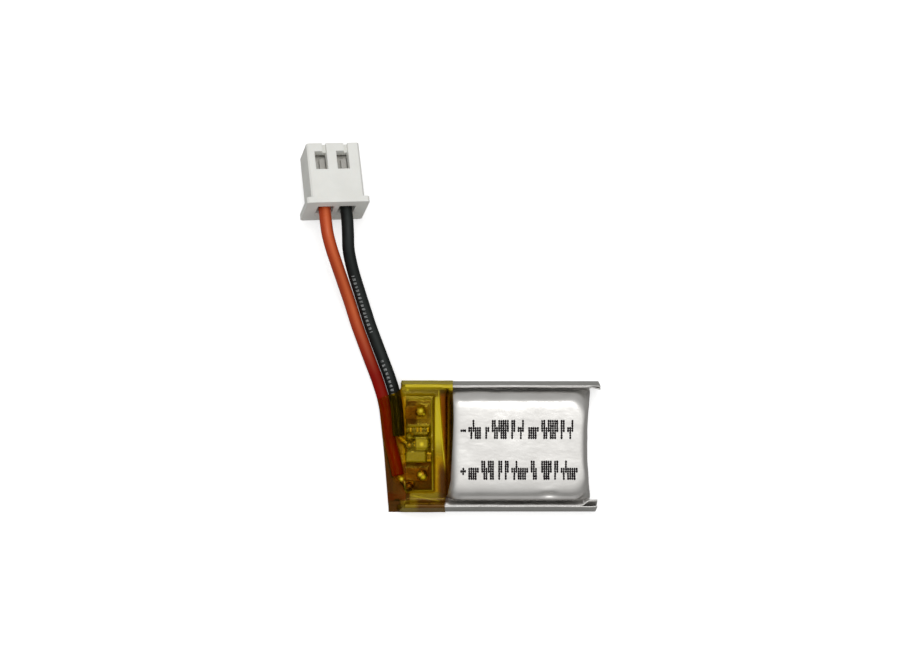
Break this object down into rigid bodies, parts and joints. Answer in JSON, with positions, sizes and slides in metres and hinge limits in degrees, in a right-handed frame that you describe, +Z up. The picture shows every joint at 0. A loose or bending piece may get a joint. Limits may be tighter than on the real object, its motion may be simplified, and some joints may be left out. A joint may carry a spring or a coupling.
{
  "type": "lithium polymer battery pack",
  "caption": "Small one-cell lithium-polymer pouch battery with an amber-taped protection board, red and black leads and a white two-way plug.",
  "frame": {"origin": "middle of the taped pouch on the face that it rests on, leads and plug not counted", "axes": "+X along the cell from the taped end to the folded end, +Y across it towards the plug, +Z up out of the cup's face"},
  "size_m": [0.0347, 0.0423, 0.0083],
  "materials": {
    "laminate": "satin, slightly wrinkled laminate",
    "anode_coat": "matt coating",
    "cathode_coat": "matt coating",
    "separator_film": "thin white film",
    "roll_tape": "thin green film",
    "aluminium_tab": "rolled strip",
    "nickel_tab": "rolled strip",
    "tab_film": "thin film",
    "insulation": "adhesive strip",
    "board": "solder mask",
    "tin": "tinned",
    "chip_black": "moulded",
    "chip_tan": "fired",
    "solder": "bright solder",
    "amber_tape": "clear amber film",
    "red_insulation": "soft satin",
    "black_insulation": "soft satin",
    "conductor": "tinned strands",
    "white_nylon": "moulded",
    "contact_metal": "tinned strip",
    "ink": "dot-printed marks on the cup"
  },
  "bodies": {
    "root": {"pouch_cup": "laminate", "pouch_back": "laminate", "anode_strip": "anode_coat", "cathode_strip": "cathode_coat", "separator_strips": "separator_film", "roll_tape": "roll_tape", "positive_tab": "aluminium_tab", "negative_tab": "nickel_tab", "tab_films": "tab_film", "terrace_insulation": "insulation", "circuit_board": "board", "cell_pad_plates": "nickel_tab", "lead_pads": "tin", "protection_ic": "chip_black", "protection_ic_legs": "tin", "mosfet_chip": "chip_black", "chip_resistors": "chip_black", "chip_capacitor": "chip_tan", "chip_end_caps": "tin", "cell_tab_solder": "solder", "lead_solder_joints": "solder", "kapton_wrap": "amber_tape", "red_lead": "red_insulation", "black_lead": "black_insulation", "conductor_ends": "conductor", "plug_housing": "white_nylon", "crimp_terminals": "contact_metal"}
  },
  "joints": []
}
